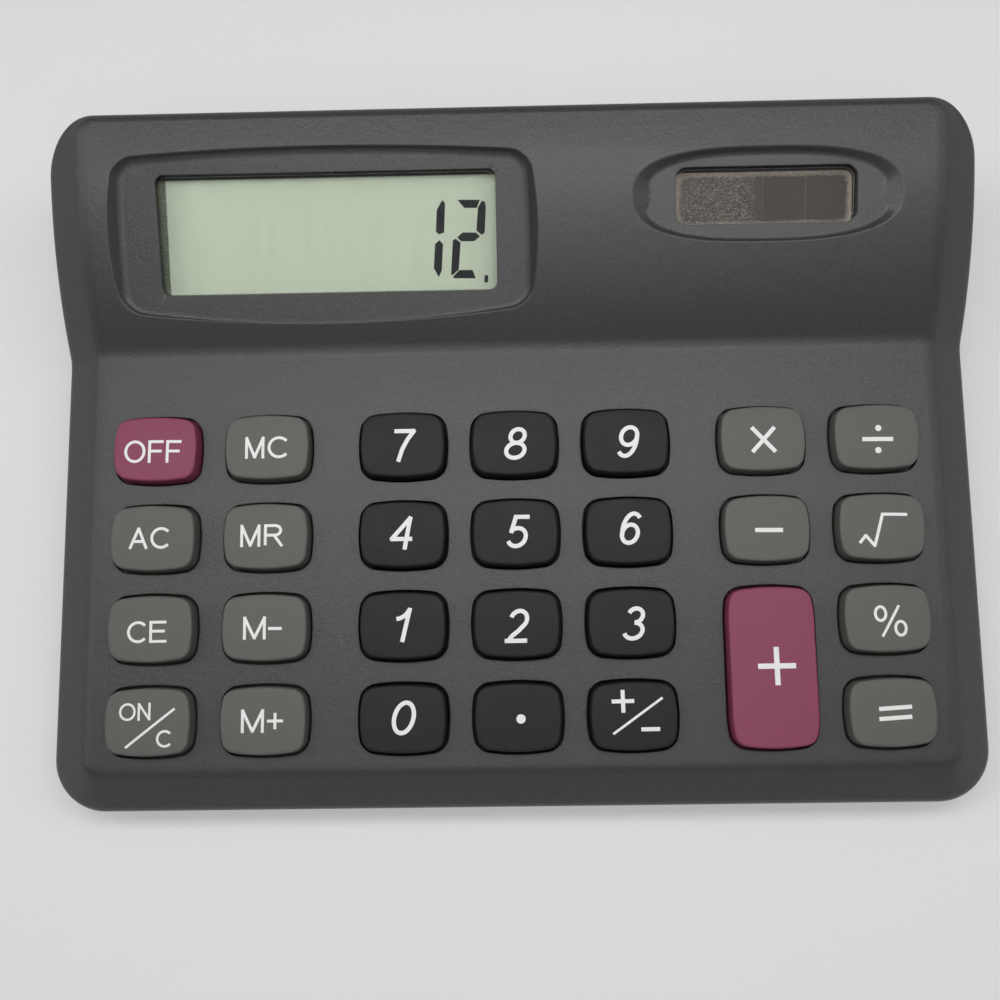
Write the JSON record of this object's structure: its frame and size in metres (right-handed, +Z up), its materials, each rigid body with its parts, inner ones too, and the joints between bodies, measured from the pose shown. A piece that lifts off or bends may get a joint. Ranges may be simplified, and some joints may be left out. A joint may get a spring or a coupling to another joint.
{
  "type": "desktop calculator",
  "caption": "Wedge-shaped desktop calculator with a flat key deck, springy keys, a raised curved display head, a solar cell and a sliding battery door.",
  "frame": {"origin": "on the table under the middle of the calculator's bounding box", "axes": "+X to the user's right along the rows of keys, +Y to the rear, towards the display, +Z up"},
  "size_m": [0.15, 0.111, 0.0326],
  "materials": {
    "case": "fine matt grain, charcoal",
    "case_base": "matt, darker charcoal",
    "grey_key": "satin",
    "black_key": "satin",
    "burgundy_key": "satin",
    "mat_rubber": "matt silicone",
    "foot_rubber": "matt",
    "board": "solder mask",
    "chip_epoxy": "moulded resin",
    "capacitor_sleeve": "shrunk sleeve",
    "clear_window": "clear plastic, smooth",
    "liquid_crystal": "grey-green display glass with a backing",
    "frame_plastic": "matt",
    "ribbon_film": "thin film",
    "solar_silicon": "dark brown cell behind glass",
    "plated_steel": "plated",
    "red_lead": "wire cover",
    "blue_lead": "wire cover",
    "orange_lead": "wire cover",
    "black_lead": "wire cover"
  },
  "bodies": {
    "case": {"battery_cell": "plated_steel", "battery_contact_negative": "plated_steel", "battery_contact_positive": "plated_steel", "battery_lead_negative": "black_lead", "battery_lead_positive": "orange_lead", "board_screw_front_left": "plated_steel", "board_screw_front_right": "plated_steel", "board_screw_rear_left": "plated_steel", "board_screw_rear_right": "plated_steel", "capacitor": "capacitor_sleeve", "case_screw_front_left": "plated_steel", "case_screw_front_right": "plated_steel", "case_screw_middle": "plated_steel", "case_screw_rear_left": "plated_steel", "case_screw_rear_right": "plated_steel", "chip_cover": "chip_epoxy", "display_frame": "frame_plastic", "display_glass": "liquid_crystal", "display_ribbon": "ribbon_film", "display_window": "clear_window", "foot_front_left": "foot_rubber", "foot_front_right": "foot_rubber", "foot_rear_left": "foot_rubber", "foot_rear_right": "foot_rubber", "keypad_mat": "mat_rubber", "lower_case": "case_base", "main_board": "board", "solar_cell": "solar_silicon", "solar_lead_negative": "blue_lead", "solar_lead_positive": "red_lead", "solar_window": "clear_window", "upper_case": "case"},
    "key_off_body": {"key_off": "burgundy_key"},
    "key_memory_clear_body": {"key_memory_clear": "grey_key"},
    "key_7_body": {"key_7": "black_key"},
    "key_8_body": {"key_8": "black_key"},
    "key_9_body": {"key_9": "black_key"},
    "key_multiply_body": {"key_multiply": "grey_key"},
    "key_divide_body": {"key_divide": "grey_key"},
    "key_all_clear_body": {"key_all_clear": "grey_key"},
    "key_memory_recall_body": {"key_memory_recall": "grey_key"},
    "key_4_body": {"key_4": "black_key"},
    "key_5_body": {"key_5": "black_key"},
    "key_6_body": {"key_6": "black_key"},
    "key_minus_body": {"key_minus": "grey_key"},
    "key_root_body": {"key_root": "grey_key"},
    "key_clear_entry_body": {"key_clear_entry": "grey_key"},
    "key_memory_minus_body": {"key_memory_minus": "grey_key"},
    "key_1_body": {"key_1": "black_key"},
    "key_2_body": {"key_2": "black_key"},
    "key_3_body": {"key_3": "black_key"},
    "key_plus_body": {"key_plus": "burgundy_key"},
    "key_percent_body": {"key_percent": "grey_key"},
    "key_on_clear_body": {"key_on_clear": "grey_key"},
    "key_memory_plus_body": {"key_memory_plus": "grey_key"},
    "key_0_body": {"key_0": "black_key"},
    "key_point_body": {"key_point": "black_key"},
    "key_sign_body": {"key_sign": "black_key"},
    "key_equals_body": {"key_equals": "grey_key"},
    "door": {"battery_door": "case_base"}
  },
  "joints": [
    {"name": "key_off_press", "type": "slide", "parent": "case", "child": "key_off_body", "axis": [0, 0.0698, -0.9976], "range_m": [0, 0.0012], "stiffness_N_per_m": 300, "deforming": ["keypad_mat"]},
    {"name": "key_memory_clear_press", "type": "slide", "parent": "case", "child": "key_memory_clear_body", "axis": [0, 0.0698, -0.9976], "range_m": [0, 0.0012], "stiffness_N_per_m": 300, "deforming": ["keypad_mat"]},
    {"name": "key_7_press", "type": "slide", "parent": "case", "child": "key_7_body", "axis": [0, 0.0698, -0.9976], "range_m": [0, 0.0012], "stiffness_N_per_m": 300, "deforming": ["keypad_mat"]},
    {"name": "key_8_press", "type": "slide", "parent": "case", "child": "key_8_body", "axis": [0, 0.0698, -0.9976], "range_m": [0, 0.0012], "stiffness_N_per_m": 300, "deforming": ["keypad_mat"]},
    {"name": "key_9_press", "type": "slide", "parent": "case", "child": "key_9_body", "axis": [0, 0.0698, -0.9976], "range_m": [0, 0.0012], "stiffness_N_per_m": 300, "deforming": ["keypad_mat"]},
    {"name": "key_multiply_press", "type": "slide", "parent": "case", "child": "key_multiply_body", "axis": [0, 0.0698, -0.9976], "range_m": [0, 0.0012], "stiffness_N_per_m": 300, "deforming": ["keypad_mat"]},
    {"name": "key_divide_press", "type": "slide", "parent": "case", "child": "key_divide_body", "axis": [0, 0.0698, -0.9976], "range_m": [0, 0.0012], "stiffness_N_per_m": 300, "deforming": ["keypad_mat"]},
    {"name": "key_all_clear_press", "type": "slide", "parent": "case", "child": "key_all_clear_body", "axis": [0, 0.0698, -0.9976], "range_m": [0, 0.0012], "stiffness_N_per_m": 300, "deforming": ["keypad_mat"]},
    {"name": "key_memory_recall_press", "type": "slide", "parent": "case", "child": "key_memory_recall_body", "axis": [0, 0.0698, -0.9976], "range_m": [0, 0.0012], "stiffness_N_per_m": 300, "deforming": ["keypad_mat"]},
    {"name": "key_4_press", "type": "slide", "parent": "case", "child": "key_4_body", "axis": [0, 0.0698, -0.9976], "range_m": [0, 0.0012], "stiffness_N_per_m": 300, "deforming": ["keypad_mat"]},
    {"name": "key_5_press", "type": "slide", "parent": "case", "child": "key_5_body", "axis": [0, 0.0698, -0.9976], "range_m": [0, 0.0012], "stiffness_N_per_m": 300, "deforming": ["keypad_mat"]},
    {"name": "key_6_press", "type": "slide", "parent": "case", "child": "key_6_body", "axis": [0, 0.0698, -0.9976], "range_m": [0, 0.0012], "stiffness_N_per_m": 300, "deforming": ["keypad_mat"]},
    {"name": "key_minus_press", "type": "slide", "parent": "case", "child": "key_minus_body", "axis": [0, 0.0698, -0.9976], "range_m": [0, 0.0012], "stiffness_N_per_m": 300, "deforming": ["keypad_mat"]},
    {"name": "key_root_press", "type": "slide", "parent": "case", "child": "key_root_body", "axis": [0, 0.0698, -0.9976], "range_m": [0, 0.0012], "stiffness_N_per_m": 300, "deforming": ["keypad_mat"]},
    {"name": "key_clear_entry_press", "type": "slide", "parent": "case", "child": "key_clear_entry_body", "axis": [0, 0.0698, -0.9976], "range_m": [0, 0.0012], "stiffness_N_per_m": 300, "deforming": ["keypad_mat"]},
    {"name": "key_memory_minus_press", "type": "slide", "parent": "case", "child": "key_memory_minus_body", "axis": [0, 0.0698, -0.9976], "range_m": [0, 0.0012], "stiffness_N_per_m": 300, "deforming": ["keypad_mat"]},
    {"name": "key_1_press", "type": "slide", "parent": "case", "child": "key_1_body", "axis": [0, 0.0698, -0.9976], "range_m": [0, 0.0012], "stiffness_N_per_m": 300, "deforming": ["keypad_mat"]},
    {"name": "key_2_press", "type": "slide", "parent": "case", "child": "key_2_body", "axis": [0, 0.0698, -0.9976], "range_m": [0, 0.0012], "stiffness_N_per_m": 300, "deforming": ["keypad_mat"]},
    {"name": "key_3_press", "type": "slide", "parent": "case", "child": "key_3_body", "axis": [0, 0.0698, -0.9976], "range_m": [0, 0.0012], "stiffness_N_per_m": 300, "deforming": ["keypad_mat"]},
    {"name": "key_plus_press", "type": "slide", "parent": "case", "child": "key_plus_body", "axis": [0, 0.0698, -0.9976], "range_m": [0, 0.0012], "stiffness_N_per_m": 300, "deforming": ["keypad_mat"]},
    {"name": "key_percent_press", "type": "slide", "parent": "case", "child": "key_percent_body", "axis": [0, 0.0698, -0.9976], "range_m": [0, 0.0012], "stiffness_N_per_m": 300, "deforming": ["keypad_mat"]},
    {"name": "key_on_clear_press", "type": "slide", "parent": "case", "child": "key_on_clear_body", "axis": [0, 0.0698, -0.9976], "range_m": [0, 0.0012], "stiffness_N_per_m": 300, "deforming": ["keypad_mat"]},
    {"name": "key_memory_plus_press", "type": "slide", "parent": "case", "child": "key_memory_plus_body", "axis": [0, 0.0698, -0.9976], "range_m": [0, 0.0012], "stiffness_N_per_m": 300, "deforming": ["keypad_mat"]},
    {"name": "key_0_press", "type": "slide", "parent": "case", "child": "key_0_body", "axis": [0, 0.0698, -0.9976], "range_m": [0, 0.0012], "stiffness_N_per_m": 300, "deforming": ["keypad_mat"]},
    {"name": "key_point_press", "type": "slide", "parent": "case", "child": "key_point_body", "axis": [0, 0.0698, -0.9976], "range_m": [0, 0.0012], "stiffness_N_per_m": 300, "deforming": ["keypad_mat"]},
    {"name": "key_sign_press", "type": "slide", "parent": "case", "child": "key_sign_body", "axis": [0, 0.0698, -0.9976], "range_m": [0, 0.0012], "stiffness_N_per_m": 300, "deforming": ["keypad_mat"]},
    {"name": "key_equals_press", "type": "slide", "parent": "case", "child": "key_equals_body", "axis": [0, 0.0698, -0.9976], "range_m": [0, 0.0012], "stiffness_N_per_m": 300, "deforming": ["keypad_mat"]},
    {"name": "battery_door_slide", "type": "slide", "parent": "case", "child": "door", "axis": [0, 1, 0], "range_m": [0, 0.024]}
  ]
}
